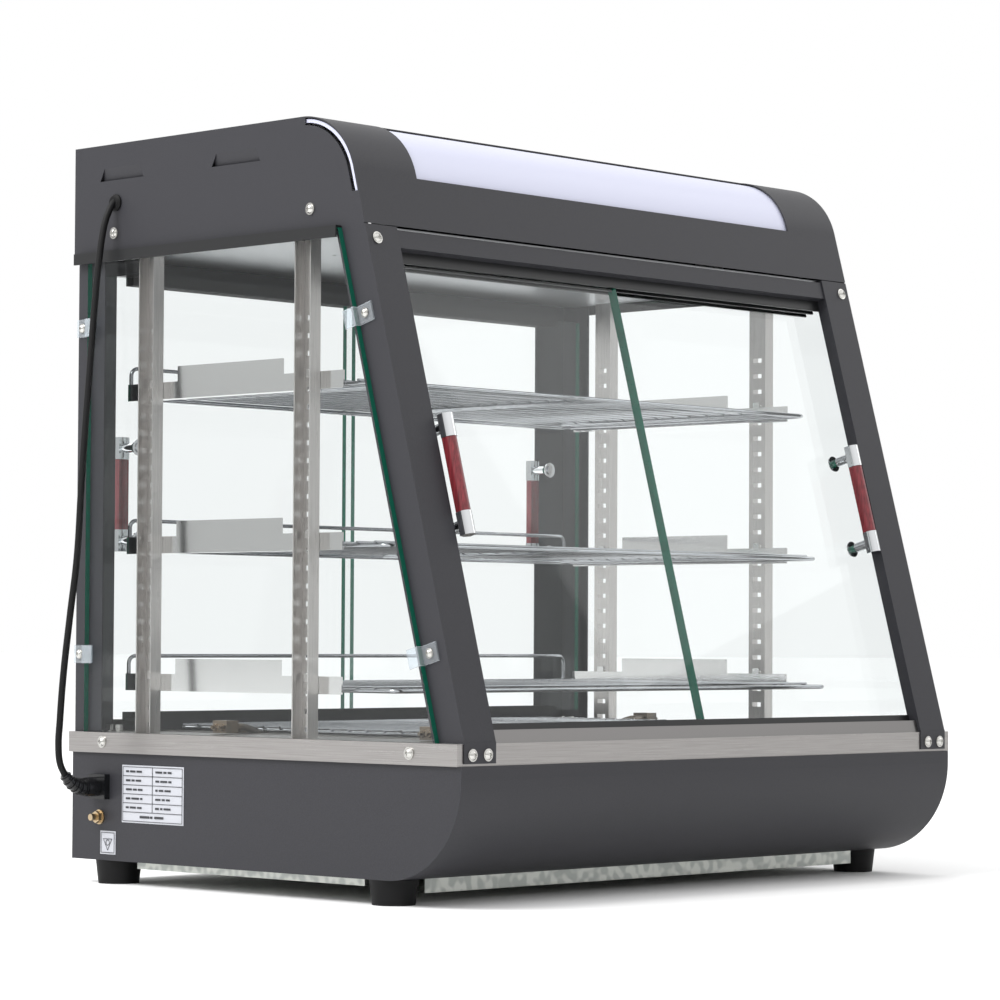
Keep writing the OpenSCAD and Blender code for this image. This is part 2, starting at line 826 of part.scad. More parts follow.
module ceiling_panel() {
    color("#b9babc") difference() {
        union() {
            translate([sheet + 0.4 - post_x, -89, glass_top - 1.4]) cube([2 * (post_x - sheet - 0.4), 325, sheet]);
            translate([1 - post_in, -120, glass_top - 1.4]) cube([2 * (post_in - 1), 32, sheet]);
        }
        for (x = [-180, 0, 180]) translate([x, 60, glass_top - 4]) cylinder(r = 2, h = 8);
    }
}

module lamp_tube() {
    color("#f4f4f0") rod_x(0, glass_top + 50, 262, 16);
}

module lamp_fittings() {
    color("#d8d8d4") {
        both_sides() translate([262, -12, glass_top - 0.2]) difference() {
            cube([14, 24, 64]);
            translate([-1, 12, 50.2]) rotate([0, 90, 0]) cylinder(d = 12, h = 8);
        }
        translate([-90, 70, glass_top - 0.2]) cube([180, 42, 28]);
    }
}

// A moulded grommet: two flanges with the lead's hole through them
module hood_grommet() {
    color(black) translate(grommet_at) rotate([0, -90, 0]) rotate_extrude() polygon([[3.2, -3.5], [7, -3.5],
        [7, -1.5], [5.8, -1.5], [5.8, 0.2], [7.5, 0.2], [7.5, 1.6], [5.6, 3.6], [3.2, 3.6]]);
}

module lamp_lead() {
    path = smooth(lead_route, 2);
    color(black) tube(path, [for (p = path) lead_d / 2], 10);
}

// A short drum at p with its axis along the direction t
module drum(p, t, d, h) {
    translate(p) rotate([0, acos(t[2]), atan2(t[1], t[0])]) cylinder(d = d, h = h, $fn = 24);
}

// The gland has a square flange, a round body and a ribbed boot that bends up towards the lead
module cable_gland() {
    path = smooth(boot_route, 3);
    last = len(path) - 1;
    color(black) {
        translate(gland_at) {
            translate([-6, -11, -11]) cube([6, 22, 22]);
            translate([-20, 0, 0]) rotate([0, 90, 0]) cylinder(d = 17, h = 32);
        }
        for (i = [0:last - 1]) {
            drum(path[i], heading(path, i), 14.5 - 6.4 * i / last, norm(path[i + 1] - path[i]) + 0.5);
            if (i % 2 == 1) drum(path[i], heading(path, i), 16.5 - 6.4 * i / last, 1);
        }
    }
}

module earth_terminal() {
    color("#b89a5a") translate([-shell_x, 202, 59]) rotate([0, -90, 0]) {
        translate([0, 0, -8]) cylinder(d = 6, h = 19);
        cylinder(d = 13, h = 1.2);
        translate([0, 0, 1.2]) cylinder(d = 11, h = 4, $fn = 6);
    }
}

module rating_plates() {
    color("#dfe1e6") {
        translate([-shell_x - 0.4, 90, 55.5]) cube([0.4, 81.5, 50.5]);
        translate([-shell_x - 0.4, 180, 26.5]) cube([0.4, 20.5, 20.5]);
    }
}

// ---- controls on the rear of the base ----

module thermostat_body() {
    color("#c8b89a") translate([knob_x, shell_rear - sheet, control_z]) rotate([90, 0, 0]) difference() {
        union() {
            translate([-17, -17, 4]) cube([34, 34, 24]);
            cylinder(d = 14, h = 5);
        }
        translate([0, 0, -1]) cylinder(r = 3.06, h = 16);
    }
}

module thermostat_knob() {
    color(black) translate([knob_x, shell_rear + 0.5, control_z]) rotate([-90, 0, 0]) {
        difference() {
            cylinder(d1 = 40, d2 = 34, h = 13.5);
            for (k = [0:11]) rotate([0, 0, k * 30]) translate([20.5, 0, 3]) cylinder(d = 4.5, h = 20);
        }
        translate([-1.2, -17, 12]) cube([2.4, 17, 2.3]);
        translate([0, 0, -12]) cylinder(r = 3, h = 13);
    }
}

module switch_housings() {
    color("#232326") for (x = switch_x) translate([x, shell_rear, control_z]) difference() {
        union() {
            translate([-12, 0, -9]) cube([24, 2.5, 18]);
            translate([-10.5, -24, -7.5]) cube([21, 25, 15]);
        }
        translate([-9.3, -22.5, -6.3]) cube([18.6, 30, 12.6]);
        translate([0, rocker_pivot_y - shell_rear, 0]) rotate([0, 90, 0]) cylinder(r = 1.56, h = 24, center = true);
    }
}

module rocker(x) {
    translate([x, rocker_pivot_y, control_z]) rotate([-rocker_tilt, 0, 0]) {
        along_x(-9, 18) polygon([[-8, -2.5], [-8, 2.5], [7, 4.8], [5, 0], [7, -4.8]]);
        rotate([0, 90, 0]) cylinder(r = 1.5, h = 20.6, center = true);
    }
}

module heater_switch() {
    color("#b3362c") rocker(switch_x[0]);
}

module lamp_switch() {
    color("#3f8f4a") rocker(switch_x[1]);
}

module mains_inlet() {
    color("#232326") translate([inlet_x, shell_rear, control_z]) {
        difference() {
            union() {
                translate([-24, 0, -12]) cube([48, 3, 24]);
                translate([-13.5, -26, -9.8]) cube([27, 27, 19.6]);
            }
            translate([-12, -16, -8]) cube([24, 30, 16]);
            for (x = [-20, 20]) translate([x, 0, 0]) rotate([90, 0, 0]) cylinder(r = 1.7, h = 12, center = true);
        }
        for (p = [[-7, -1.5], [7, -1.5], [0, 2.5]]) translate([p[0] - 1, -17, p[1] - 2]) cube([2, 13, 4]);
    }
}

front_apron();
base_side_left();
base_side_right();
base_rear_panel();
bottom_pan();
feet();
deck_frame();
heater_tray();
heater_tubes();
heater_terminals();
floor_rack();
cable_gland();
earth_terminal();
rating_plates();
thermostat_body();
thermostat_knob();
switch_housings();
heater_switch();
lamp_switch();
mains_inlet();
front_posts();
rear_posts();
front_header();
rear_header();
front_sill();
rear_sill();
lower_tracks();
upper_tracks();
side_glass_left();
side_glass_right();
glass_channels();
glass_clips();
frame_screws();
uprights();
shelf_brackets();
shelf_bottom();
shelf_middle();
shelf_top();
door_front_left();
grip_front_left();
caps_front_left();
door_front_right();
grip_front_right();
caps_front_right();
door_rear_left();
grip_rear_left();
caps_rear_left();
door_rear_right();
grip_rear_right();
caps_rear_right();
hood_side_left();
hood_side_right();
hood_shell();
hood_cover();
light_diffuser();
ceiling_panel();
lamp_tube();
lamp_fittings();
hood_grommet();
lamp_lead();
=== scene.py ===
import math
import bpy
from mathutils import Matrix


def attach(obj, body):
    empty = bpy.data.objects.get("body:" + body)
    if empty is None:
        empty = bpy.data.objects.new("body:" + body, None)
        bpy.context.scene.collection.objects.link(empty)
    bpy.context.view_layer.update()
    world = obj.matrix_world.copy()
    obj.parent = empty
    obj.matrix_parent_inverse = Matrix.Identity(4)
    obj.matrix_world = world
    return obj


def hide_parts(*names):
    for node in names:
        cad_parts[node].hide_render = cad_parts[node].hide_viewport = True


bl_info = {
    "name": "Hot food display case",
    "version": (1, 0, 0),
    "blender": (4, 5, 0),
    "location": "View3D > Sidebar > Display Case",
    "description": "Finishes, lamp lead, printed plates and studio for a countertop heated display case",
    "category": "Object",
}

import bmesh
import bpy
from bpy.props import FloatProperty, FloatVectorProperty, PointerProperty
from mathutils import Matrix, Vector

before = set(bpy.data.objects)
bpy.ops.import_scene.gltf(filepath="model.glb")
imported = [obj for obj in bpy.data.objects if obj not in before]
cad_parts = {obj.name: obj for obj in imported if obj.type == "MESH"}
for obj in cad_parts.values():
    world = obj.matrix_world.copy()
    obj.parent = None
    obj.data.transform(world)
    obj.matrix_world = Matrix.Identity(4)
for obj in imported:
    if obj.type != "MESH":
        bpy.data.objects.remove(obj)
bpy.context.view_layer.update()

MM = 0.001
FRONT_LEAN = math.radians(15.38)

# Where the camera stands, in metres, and how it is turned, in degrees
CAMERA_PLACE = (-2.32264, -2.17632, 0.21876)
CAMERA_AZIMUTH = 46.4876
CAMERA_RISE = 2.0316
CAMERA_ROLL = 0.2898

# The two plates on the left of the base, in millimetres: the plane of their print, the rating
# plate's front, rear, lowest and highest lines, and the small plate's centre
PRINT_X = -327.82
PRINT_DEPTH = 0.1
RATING_FRONT, RATING_REAR = 91.5, 170
RATING_LOW, RATING_HIGH = 57, 104.5
RATING_ROWS = 6
SMALL_PLATE_Y, SMALL_PLATE_Z = 190.25, 36.75
SMALL_FRAME = 17.6

# Lengths of the three bars in each cell of the rating plate, in millimetres
RATING_WORDS = [
    (5, 3, 9), (4, 8, 6), (7, 4, 5), (6, 10, 3), (3, 6, 8),
    (8, 5, 6), (5, 9, 4), (6, 4, 7), (9, 4, 5), (4, 7, 7),
]
WORD_GAP = 1.6
CELL_MARGIN = 4

# Bars in the rating plate's last row: how far each starts from the middle, and its length
LAST_ROW = [(10, 13), (1, 3), (-9, 12)]

# Each lamp's name, place in metres, width in metres and share of the key light's power
LIGHTS = [
    ("left_light", (-2.4, 0.6, 2.6), 1.6, 1.0),
    ("front_light", (2.6, -1.2, 2.2), 2.0, 0.12),
    ("back_light", (0.5, 3.2, 2.4), 2.4, 0.2),
]
LIGHT_AIM = Vector((0, 0, 0.3))

# Glass mirrors this share of the light that meets it head on
HEAD_ON_MIRROR = 0.025
# A surface of a pane is one of its faces if its normal leans less than about 45 degrees off square
FACE_COSINE = 0.7

# Centreline of the lamp lead, from the hood's grommet down to the boot on the base
LEAD_ROUTE = [
    (-321, 192, 609), (-326.5, 192, 604), (-331, 192, 597), (-335, 192.5, 587), (-338, 193, 573),
    (-341, 193.5, 551), (-344.5, 194, 517), (-347, 194.5, 485), (-350, 195, 445), (-353.5, 195.5, 400),
    (-357, 196, 345), (-360.5, 196.5, 288), (-367, 197.5, 236), (-373, 198.5, 184), (-375.5, 199.5, 145),
    (-376, 200.5, 122), (-373.5, 201, 107), (-368, 201, 97),
]


def linear(colour):
    """An sRGB hex colour as the linear RGB that sockets take."""
    parts = [int(colour[i:i + 2], 16) / 255 for i in (1, 3, 5)]
    return tuple(p / 12.92 if p <= 0.04045 else ((p + 0.055) / 1.055) ** 2.4 for p in parts)


# ---- materials ----


def add(tree, kind, inputs=None, **settings):
    """Adds a node, with its settings, and its inputs as numbers or as sockets to link from."""
    node = tree.nodes.new(kind)
    for name, value in settings.items():
        setattr(node, name, value)
    for key, value in (inputs or {}).items():
        if isinstance(value, bpy.types.NodeSocket):
            tree.links.new(value, node.inputs[key])
        else:
            node.inputs[key].default_value = value
    return node


def new_material(name):
    """An empty material with its output node."""
    material = bpy.data.materials.new(name)
    material.use_nodes = True
    material.node_tree.nodes.clear()
    return material, add(material.node_tree, "ShaderNodeOutputMaterial")


def finish_with(material, output, shader):
    """Links the shader to the material's output."""
    material.node_tree.links.new(shader.outputs[0], output.inputs["Surface"])
    return material


def pattern(tree, size_mm, detail=2.0):
    """Noise whose blobs measure size_mm along x, y and z."""
    place = add(tree, "ShaderNodeTexCoord")
    scale = [1 / (s * MM) for s in size_mm]
    mapping = add(tree, "ShaderNodeMapping", {"Vector": place.outputs["Object"], "Scale": scale})
    return add(tree, "ShaderNodeTexNoise", {"Vector": mapping.outputs[0], "Scale": 1.0, "Detail": detail})


def between(tree, noise, low, high, narrow=0.0):
    """The noise turned into numbers from low to high."""
    return add(tree, "ShaderNodeMapRange", {
        "Value": noise.outputs[0], "From Min": 0.3 + narrow, "From Max": 0.7 - narrow,
        "To Min": low, "To Max": high}).outputs[0]


def tint(tree, factor, first, second):
    """A colour that goes from first to second with the factor."""
    ramp = add(tree, "ShaderNodeMix", {"Factor": factor}, data_type="RGBA")
    ramp.inputs[6].default_value = (*first, 1)
    ramp.inputs[7].default_value = (*second, 1)
    return ramp.outputs[2]


def relief(tree, noise, depth_mm, strength):
    """A bump normal from the noise."""
    return add(tree, "ShaderNodeBump", {
        "Height": noise.outputs[0], "Distance": depth_mm * MM, "Strength": strength}).outputs[0]


def opaque(name, colour, roughness, metallic=0.0, **more):
    """A plain one-colour material."""
    material, output = new_material(name)
    inputs = {"Base Color": (*colour, 1), "Roughness": roughness, "Metallic": metallic}
    inputs.update({key.replace("_", " "): value for key, value in more.items()})
    return finish_with(material, output, add(material.node_tree, "ShaderNodeBsdfPrincipled", inputs))


def powder_coat(look):
    """Polyester powder coat, sprayed and baked. Its orange-peel grain gives a fine satin sparkle."""
    material, output = new_material("powder_coat_charcoal")
    tree = material.node_tree
    # Real grit is about 0.3 mm; it is drawn coarser so that it shows
    grain = pattern(tree, [look.coat_grain] * 3)
    lighter = [c * 1.35 for c in look.coat_colour]
    shader = add(tree, "ShaderNodeBsdfPrincipled", {
        "Base Color": tint(tree, between(tree, grain, 0, 1), tuple(look.coat_colour), lighter),
        "Roughness": 0.5,
        "Specular IOR Level": 0.35,
        "Normal": relief(tree, grain, 0.15, 0.5)})
    return finish_with(material, output, shader)


def brushed_steel(name, look, size_mm, painted_light_lift=1.0):
    """Stainless steel sheet, brushed by a belt. The long fine scratches smear its reflections."""
    material, output = new_material(name)
    tree = material.node_tree
    scratches = pattern(tree, size_mm, 3.0)
    # painted_light_lift makes the steel's colour lighter as painted light; the uprights take 1.5
    lighter = [min(1, c * painted_light_lift) for c in look.steel_colour]
    darker = [c * 0.82 for c in lighter]
    shader = add(tree, "ShaderNodeBsdfPrincipled", {
        "Base Color": tint(tree, between(tree, scratches, 0, 1), lighter, darker),
        "Metallic": 1.0,
        "Roughness": between(tree, scratches, 0.26, 0.42),
        "Normal": relief(tree, scratches, 0.02, 0.2)})
    return finish_with(material, output, shader)


def galvanised_sheet():
    """Hot-dip galvanised steel. Zinc crystals of about 8 mm make faint patches."""
    material, output = new_material("galvanised_steel")
    tree = material.node_tree
    spangle = pattern(tree, [8, 8, 8], 0.0)
    shader = add(tree, "ShaderNodeBsdfPrincipled", {
        "Base Color": tint(tree, between(tree, spangle, 0, 1, 0.1), linear("#c9ccc6"), linear("#a9ada9")),
        "Metallic": 1.0,
        "Roughness": 0.42})
    return finish_with(material, output, shader)


def heater_steel():
    """Heater sheath of drawn steel, blued and browned by heat."""
    material, output = new_material("heat_tinted_steel")
    tree = material.node_tree
    stain = pattern(tree, [25, 25, 25])
    shader = add(tree, "ShaderNodeBsdfPrincipled", {
        "Base Color": tint(tree, between(tree, stain, 0, 1), linear("#6b6863"), linear("#857766")),
        "Metallic": 1.0,
        "Roughness": 0.4})
    return finish_with(material, output, shader)


def mahogany(look):
    """Turned mahogany under clear lacquer. Grain runs along the bar and the lacquer is glossy."""
    material, output = new_material("lacquered_mahogany")
    tree = material.node_tree
    grain = pattern(tree, [1.4, 1.4, 26])
    darker = [c * 0.45 for c in look.wood_colour]
    shader = add(tree, "ShaderNodeBsdfPrincipled", {
        "Base Color": tint(tree, between(tree, grain, 0, 1), tuple(look.wood_colour), darker),
        "Roughness": 0.45,
        "Specular IOR Level": 0.2,
        "Coat Weight": 0.8,
        "Coat Roughness": 0.04})
    return finish_with(material, output, shader)


def float_glass(name, look, facing):
    """Float glass, cut and ground. Its faces are clear and its edges gather a deep green."""
    material, output = new_material(name)
    tree = material.node_tree
    surface = add(tree, "ShaderNodeNewGeometry")
    along = add(tree, "ShaderNodeVectorMath", {
        0: surface.outputs["Normal"], 1: facing}, operation="DOT_PRODUCT")
    square = add(tree, "ShaderNodeMath", {0: along.outputs["Value"]}, operation="ABSOLUTE")
    is_face = add(tree, "ShaderNodeMath", {0: square.outputs[0], 1: FACE_COSINE}, operation="GREATER_THAN")
    clear = add(tree, "ShaderNodeBsdfTransparent", {"Color": (*look.glass_tint, 1)})
    gloss = add(tree, "ShaderNodeBsdfPrincipled", {
        "Base Color": (*linear("#f4f6f6"), 1), "Metallic": 1.0, "Roughness": 0.02})
    # The mirrored share grows with the fifth power of the slant, as on real glass
    slant = add(tree, "ShaderNodeLayerWeight", {"Blend": 0.5})
    steep = add(tree, "ShaderNodeMath", {0: slant.outputs["Facing"], 1: 5.0}, operation="POWER")
    mirror = add(tree, "ShaderNodeMath", {
        0: steep.outputs[0], 1: 1 - HEAD_ON_MIRROR, 2: HEAD_ON_MIRROR}, operation="MULTIPLY_ADD")
    pane = add(tree, "ShaderNodeMixShader", {0: mirror.outputs[0], 1: clear.outputs[0], 2: gloss.outputs[0]})
    edge = add(tree, "ShaderNodeBsdfPrincipled", {
        "Base Color": (*look.glass_edge, 1), "Roughness": 0.18, "IOR": 1.5})
    shader = add(tree, "ShaderNodeMixShader", {0: is_face.outputs[0], 1: edge.outputs[0], 2: pane.outputs[0]})
    return finish_with(material, output, shader)


def clear_plastic():
    """Clear polycarbonate, moulded. It looks faintly milky with bright edges."""
    material, output = new_material("clear_polycarbonate")
    tree = material.node_tree
    clear = add(tree, "ShaderNodeBsdfTransparent", {"Color": (*linear("#eef2f5"), 1)})
    body = add(tree, "ShaderNodeBsdfPrincipled", {"Base Color": (*linear("#dfe5ea"), 1), "Roughness": 0.12})
    share = add(tree, "ShaderNodeLayerWeight", {"Blend": 0.35})
    shader = add(tree, "ShaderNodeMixShader", {
        0: share.outputs["Facing"], 1: clear.outputs[0], 2: body.outputs[0]})
    return finish_with(material, output, shader)


def make_materials(look):
    """Every finish on the case, by the record's slot or by a more exact use of it."""
    lean = Vector((0, -math.cos(FRONT_LEAN), math.sin(FRONT_LEAN)))
    return {
        "powder_coat": powder_coat(look),
        # Scratches are about 0.1 mm wide; they are drawn 0.7 mm wide so that they show
        "stainless": brushed_steel("brushed_stainless_level", look, [60, 60, 0.7]),
        # The sill's sheet lies under the doors; its stainless colour is made darker as painted shade, and it
        # is duller
        "stainless_sill_painted_shade": opaque("satin_stainless_painted_shade_sill", linear("#8a8887"), 0.3, 1.0),
        # Polished stainless strip, almost a mirror
        "stainless_bright": opaque("polished_stainless", linear("#e4e3e2"), 0.11, 1.0),
        # The uprights' steel is made 1.5 times lighter in colour as painted light
        "stainless_upright_painted_light": brushed_steel("brushed_stainless_painted_light_upright", look, [0.7, 0.7, 60], 1.5),
        "galvanised": galvanised_sheet(),
        "heater_steel": heater_steel(),
        # Chromed steel wire, plated bright, so it mirrors the room
        "chromed_wire": opaque("chromed_wire", linear("#a3a5a8"), 0.12, 1.0),
        "glass_side": float_glass("float_glass_side", look, (1, 0, 0)),
        "glass_front": float_glass("float_glass_front", look, tuple(lean)),
        "glass_rear": float_glass("float_glass_rear", look, (0, 1, 0)),
        "clear_plastic": clear_plastic(),
        # Zinc-plated steel, rolled and pressed, bright but a little soft
        "screws": opaque("zinc_plated_steel", linear("#c8c7c3"), 0.24, 1.0),
        "mahogany": mahogany(look),
        # Chromium plate on die-cast zinc, polished to a mirror
        "handle_chrome": opaque("polished_chrome", linear("#dcdee0"), 0.07, 1.0),
        # Opal acrylic sheet, extruded, evenly white with a soft gloss
        "diffuser": opaque("opal_acrylic", tuple(look.diffuser_colour), 0.3),
        # Satin steel sheet, lacquered, which mirrors the room softly
        "ceiling_grey": opaque("lacquered_steel_ceiling", linear("#a4a6a8"), 0.34, 0.85),
        # Moulded rubber, matt black
        "rubber": opaque("moulded_rubber", linear("#060607"), 0.6, Specular_IOR_Level=0.25),
        # Extruded PVC, black with a low sheen
        "track_plastic": opaque("extruded_pvc_black", linear("#0d0e10"), 0.42),
        # Moulded ABS, black and fairly glossy
        "black_plastic": opaque("moulded_abs_black", linear("#101113"), 0.25),
        # Tinted polycarbonate rockers, moulded, glossy and deep in colour
        "red_switch": opaque("tinted_polycarbonate_red", linear("#b3362c"), 0.2),
        "green_switch": opaque("tinted_polycarbonate_green", linear("#3f8f4a"), 0.2),
        # Turned brass, slightly dulled
        "brass": opaque("turned_brass", linear("#b9a688"), 0.28, 1.0),
        # White vinyl film, printed, low gloss
        "label": opaque("printed_vinyl", linear("#b6b8be"), 0.45),
        # Phenolic moulding, cream and matt
        "phenolic": opaque("phenolic_moulding", linear("#c8b89a"), 0.55),
        # Fluorescent lamp glass, coated white inside
        "lamp_white": opaque("coated_lamp_glass", linear("#f2f2ef"), 0.25),
        # Printing ink on vinyl, black
        "ink": opaque("printing_ink", linear("#2c2d31"), 0.5),
    }


NODE_FINISH = {
    "powder_coat": "front_apron base_side_left base_side_right base_rear_panel front_posts rear_posts "
    "front_header rear_header rear_sill hood_side_left hood_side_right hood_shell hood_cover",
    "galvanised": "bottom_pan",
    "rubber": "feet hood_grommet lamp_lead",
    "stainless": "deck_frame heater_tray",
    "stainless_sill_painted_shade": "front_sill",
    "stainless_bright": "shelf_brackets",
    "stainless_upright_painted_light": "uprights",
    "heater_steel": "heater_tubes heater_terminals",
    "chromed_wire": "floor_rack shelf_bottom shelf_middle shelf_top",
    "brass": "earth_terminal",
    "label": "rating_plates",
    "phenolic": "thermostat_body",
    "black_plastic": "cable_gland thermostat_knob switch_housings mains_inlet",
    "red_switch": "heater_switch",
    "green_switch": "lamp_switch",
    "track_plastic": "lower_tracks upper_tracks glass_channels",
    "glass_side": "side_glass_left side_glass_right",
    "glass_front": "door_front_left door_front_right",
    "glass_rear": "door_rear_left door_rear_right",
    "clear_plastic": "glass_clips",
    "screws": "frame_screws",
    "mahogany": "grip_front_left grip_front_right grip_rear_left grip_rear_right",
    "handle_chrome": "caps_front_left caps_front_right caps_rear_left caps_rear_right",
    "diffuser": "light_diffuser",
    "ceiling_grey": "ceiling_panel",
    "lamp_white": "lamp_tube lamp_fittings",
}

finishes = {}


# ---- meshes ----


def mesh_piece(name, bm, finish, body="cabinet"):
    """Turns a bmesh, drawn in millimetres, into a piece of the case."""
    bmesh.ops.scale(bm, vec=(MM, MM, MM), verts=bm.verts)
    mesh = bpy.data.meshes.new(name)
    bm.to_mesh(mesh)
    bm.free()
    mesh.materials.append(finishes[finish])
    piece = bpy.data.objects.new(name, mesh)
    bpy.context.scene.collection.objects.link(piece)
    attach(piece, body)
    return piece


def block(bm, centre, size):
    """Adds a box to the bmesh, by its centre and its size in millimetres."""
    place = Matrix.Translation(centre) @ Matrix.Diagonal((*size, 1))
    return bmesh.ops.create_cube(bm, size=1, matrix=place)["verts"]


# ---- settings ----


class CaseFinishSettings(bpy.types.PropertyGroup):
    coat_colour: FloatVectorProperty(
        name="Coat colour", description="Colour of the powder coat",
        subtype="COLOR", size=3, min=0, max=1, default=linear("#28282c"))
    coat_grain: FloatProperty(
        name="Coat grain", description="Width of a grain of the powder coat, in millimetres",
        min=0.1, max=5, default=0.9)
    steel_colour: FloatVectorProperty(
        name="Steel colour", description="Colour of the brushed stainless steel",
        subtype="COLOR", size=3, min=0, max=1, default=linear("#a8a5a3"))
    glass_tint: FloatVectorProperty(
        name="Glass tint", description="What the face of a pane lets through",
        subtype="COLOR", size=3, min=0, max=1, default=linear("#fdfefe"))
    glass_edge: FloatVectorProperty(
        name="Glass edge", description="Colour of the ground edge of a pane",
        subtype="COLOR", size=3, min=0, max=1, default=linear("#0f5a48"))
    wood_colour: FloatVectorProperty(
        name="Grip colour", description="Colour of the wooden grips",
        subtype="COLOR", size=3, min=0, max=1, default=linear("#7d2830"))
    diffuser_colour: FloatVectorProperty(
        name="Diffuser colour", description="Colour of the opal light diffuser",
        subtype="COLOR", size=3, min=0, max=1, default=linear("#bfc1d4"))


class CaseLeadSettings(bpy.types.PropertyGroup):
    diameter: FloatProperty(
        name="Lead diameter", description="Thickness of the lamp lead",
        subtype="DISTANCE", unit="LENGTH", min=0.003, max=0.012, default=0.006)


class CasePlateSettings(bpy.types.PropertyGroup):
    line: FloatProperty(
        name="Line width", description="Width of the lines printed on the plates, in millimetres",
        min=0.1, max=2, default=0.5)
    bar: FloatProperty(
        name="Bar height", description="Height of the bars that stand for a row of print, in millimetres",
        min=0.5, max=5, default=1.7)


class CaseStageSettings(bpy.types.PropertyGroup):
    floor_colour: FloatVectorProperty(
        name="Floor colour", description="Colour of the studio floor",
        subtype="COLOR", size=3, min=0, max=1, default=linear("#f4f4f4"))
    floor_radius: FloatProperty(
        name="Floor radius", description="Radius of the studio floor",
        subtype="DISTANCE", unit="LENGTH", min=2, max=100, default=40)
    key_power: FloatProperty(
        name="Key light", description="Power of the large soft light, in watts", min=0, max=2000, default=95)
    sky: FloatProperty(
        name="Room light", description="Strength of the white room around the case",
        min=0, max=5, default=1.0)


# ---- operators ----


class CASE_OT_camera(bpy.types.Operator):
    """Places the camera"""

    bl_idname = "case.camera"
    bl_label = "Camera"

    def execute(self, context):
        data = bpy.data.cameras.new("camera")
        data.lens = 124.94
        data.sensor_width = 36
        data.shift_x = 0.003
        data.shift_y = 0.0154
        data.clip_end = 200
        azimuth, rise, roll = (math.radians(a) for a in (CAMERA_AZIMUTH, CAMERA_RISE, CAMERA_ROLL))
        ahead = Vector((math.sin(azimuth), math.cos(azimuth), 0))
        forward = ahead * math.cos(rise) + Vector((0, 0, math.sin(rise)))
        level = Vector((math.cos(azimuth), -math.sin(azimuth), 0))
        upward = level.cross(forward)
        right = level * math.cos(roll) + upward * math.sin(roll)
        up = upward * math.cos(roll) - level * math.sin(roll)
        camera = bpy.data.objects.new("camera", data)
        turn = Matrix((right, up, -forward)).transposed().to_4x4()
        camera.matrix_world = Matrix.Translation(CAMERA_PLACE) @ turn
        context.scene.collection.objects.link(camera)
        context.scene.camera = camera
        return {"FINISHED"}


class CASE_OT_lamp_lead(bpy.types.Operator):
    """Hangs the lamp lead from the hood down to the base"""

    bl_idname = "case.lamp_lead"
    bl_label = "Lamp lead"

    def execute(self, context):
        size = context.scene.case_lead
        curve = bpy.data.curves.new("hood_lead", "CURVE")
        curve.dimensions = "3D"
        curve.resolution_u = curve.render_resolution_u = 10
        curve.bevel_depth = 1.0
        curve.bevel_resolution = 6
        curve.use_fill_caps = True
        spline = curve.splines.new("BEZIER")
        spline.bezier_points.add(len(LEAD_ROUTE) - 1)
        for point, place in zip(spline.bezier_points, LEAD_ROUTE):
            point.co = Vector(place) * MM
            point.handle_left_type = point.handle_right_type = "AUTO"
            point.radius = size.diameter / 2
        lead = bpy.data.objects.new("hood_lead", curve)
        context.scene.collection.objects.link(lead)
        context.view_layer.update()
        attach(lead, "cabinet")
        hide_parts("lamp_lead")
        return {"FINISHED"}


class CASE_OT_finishes(bpy.types.Operator):
    """Gives every part of the case its finish"""

    bl_idname = "case.finishes"
    bl_label = "Finishes"

    def execute(self, context):
        finishes.update(make_materials(context.scene.case_finish))
        for finish, names in NODE_FINISH.items():
            for name in names.split():
                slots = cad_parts[name].data.materials
                if not len(slots):
                    slots.append(None)
                for k in range(len(slots)):
                    slots[k] = finishes[finish]
        bpy.data.objects["hood_lead"].data.materials.append(finishes["rubber"])
        return {"FINISHED"}


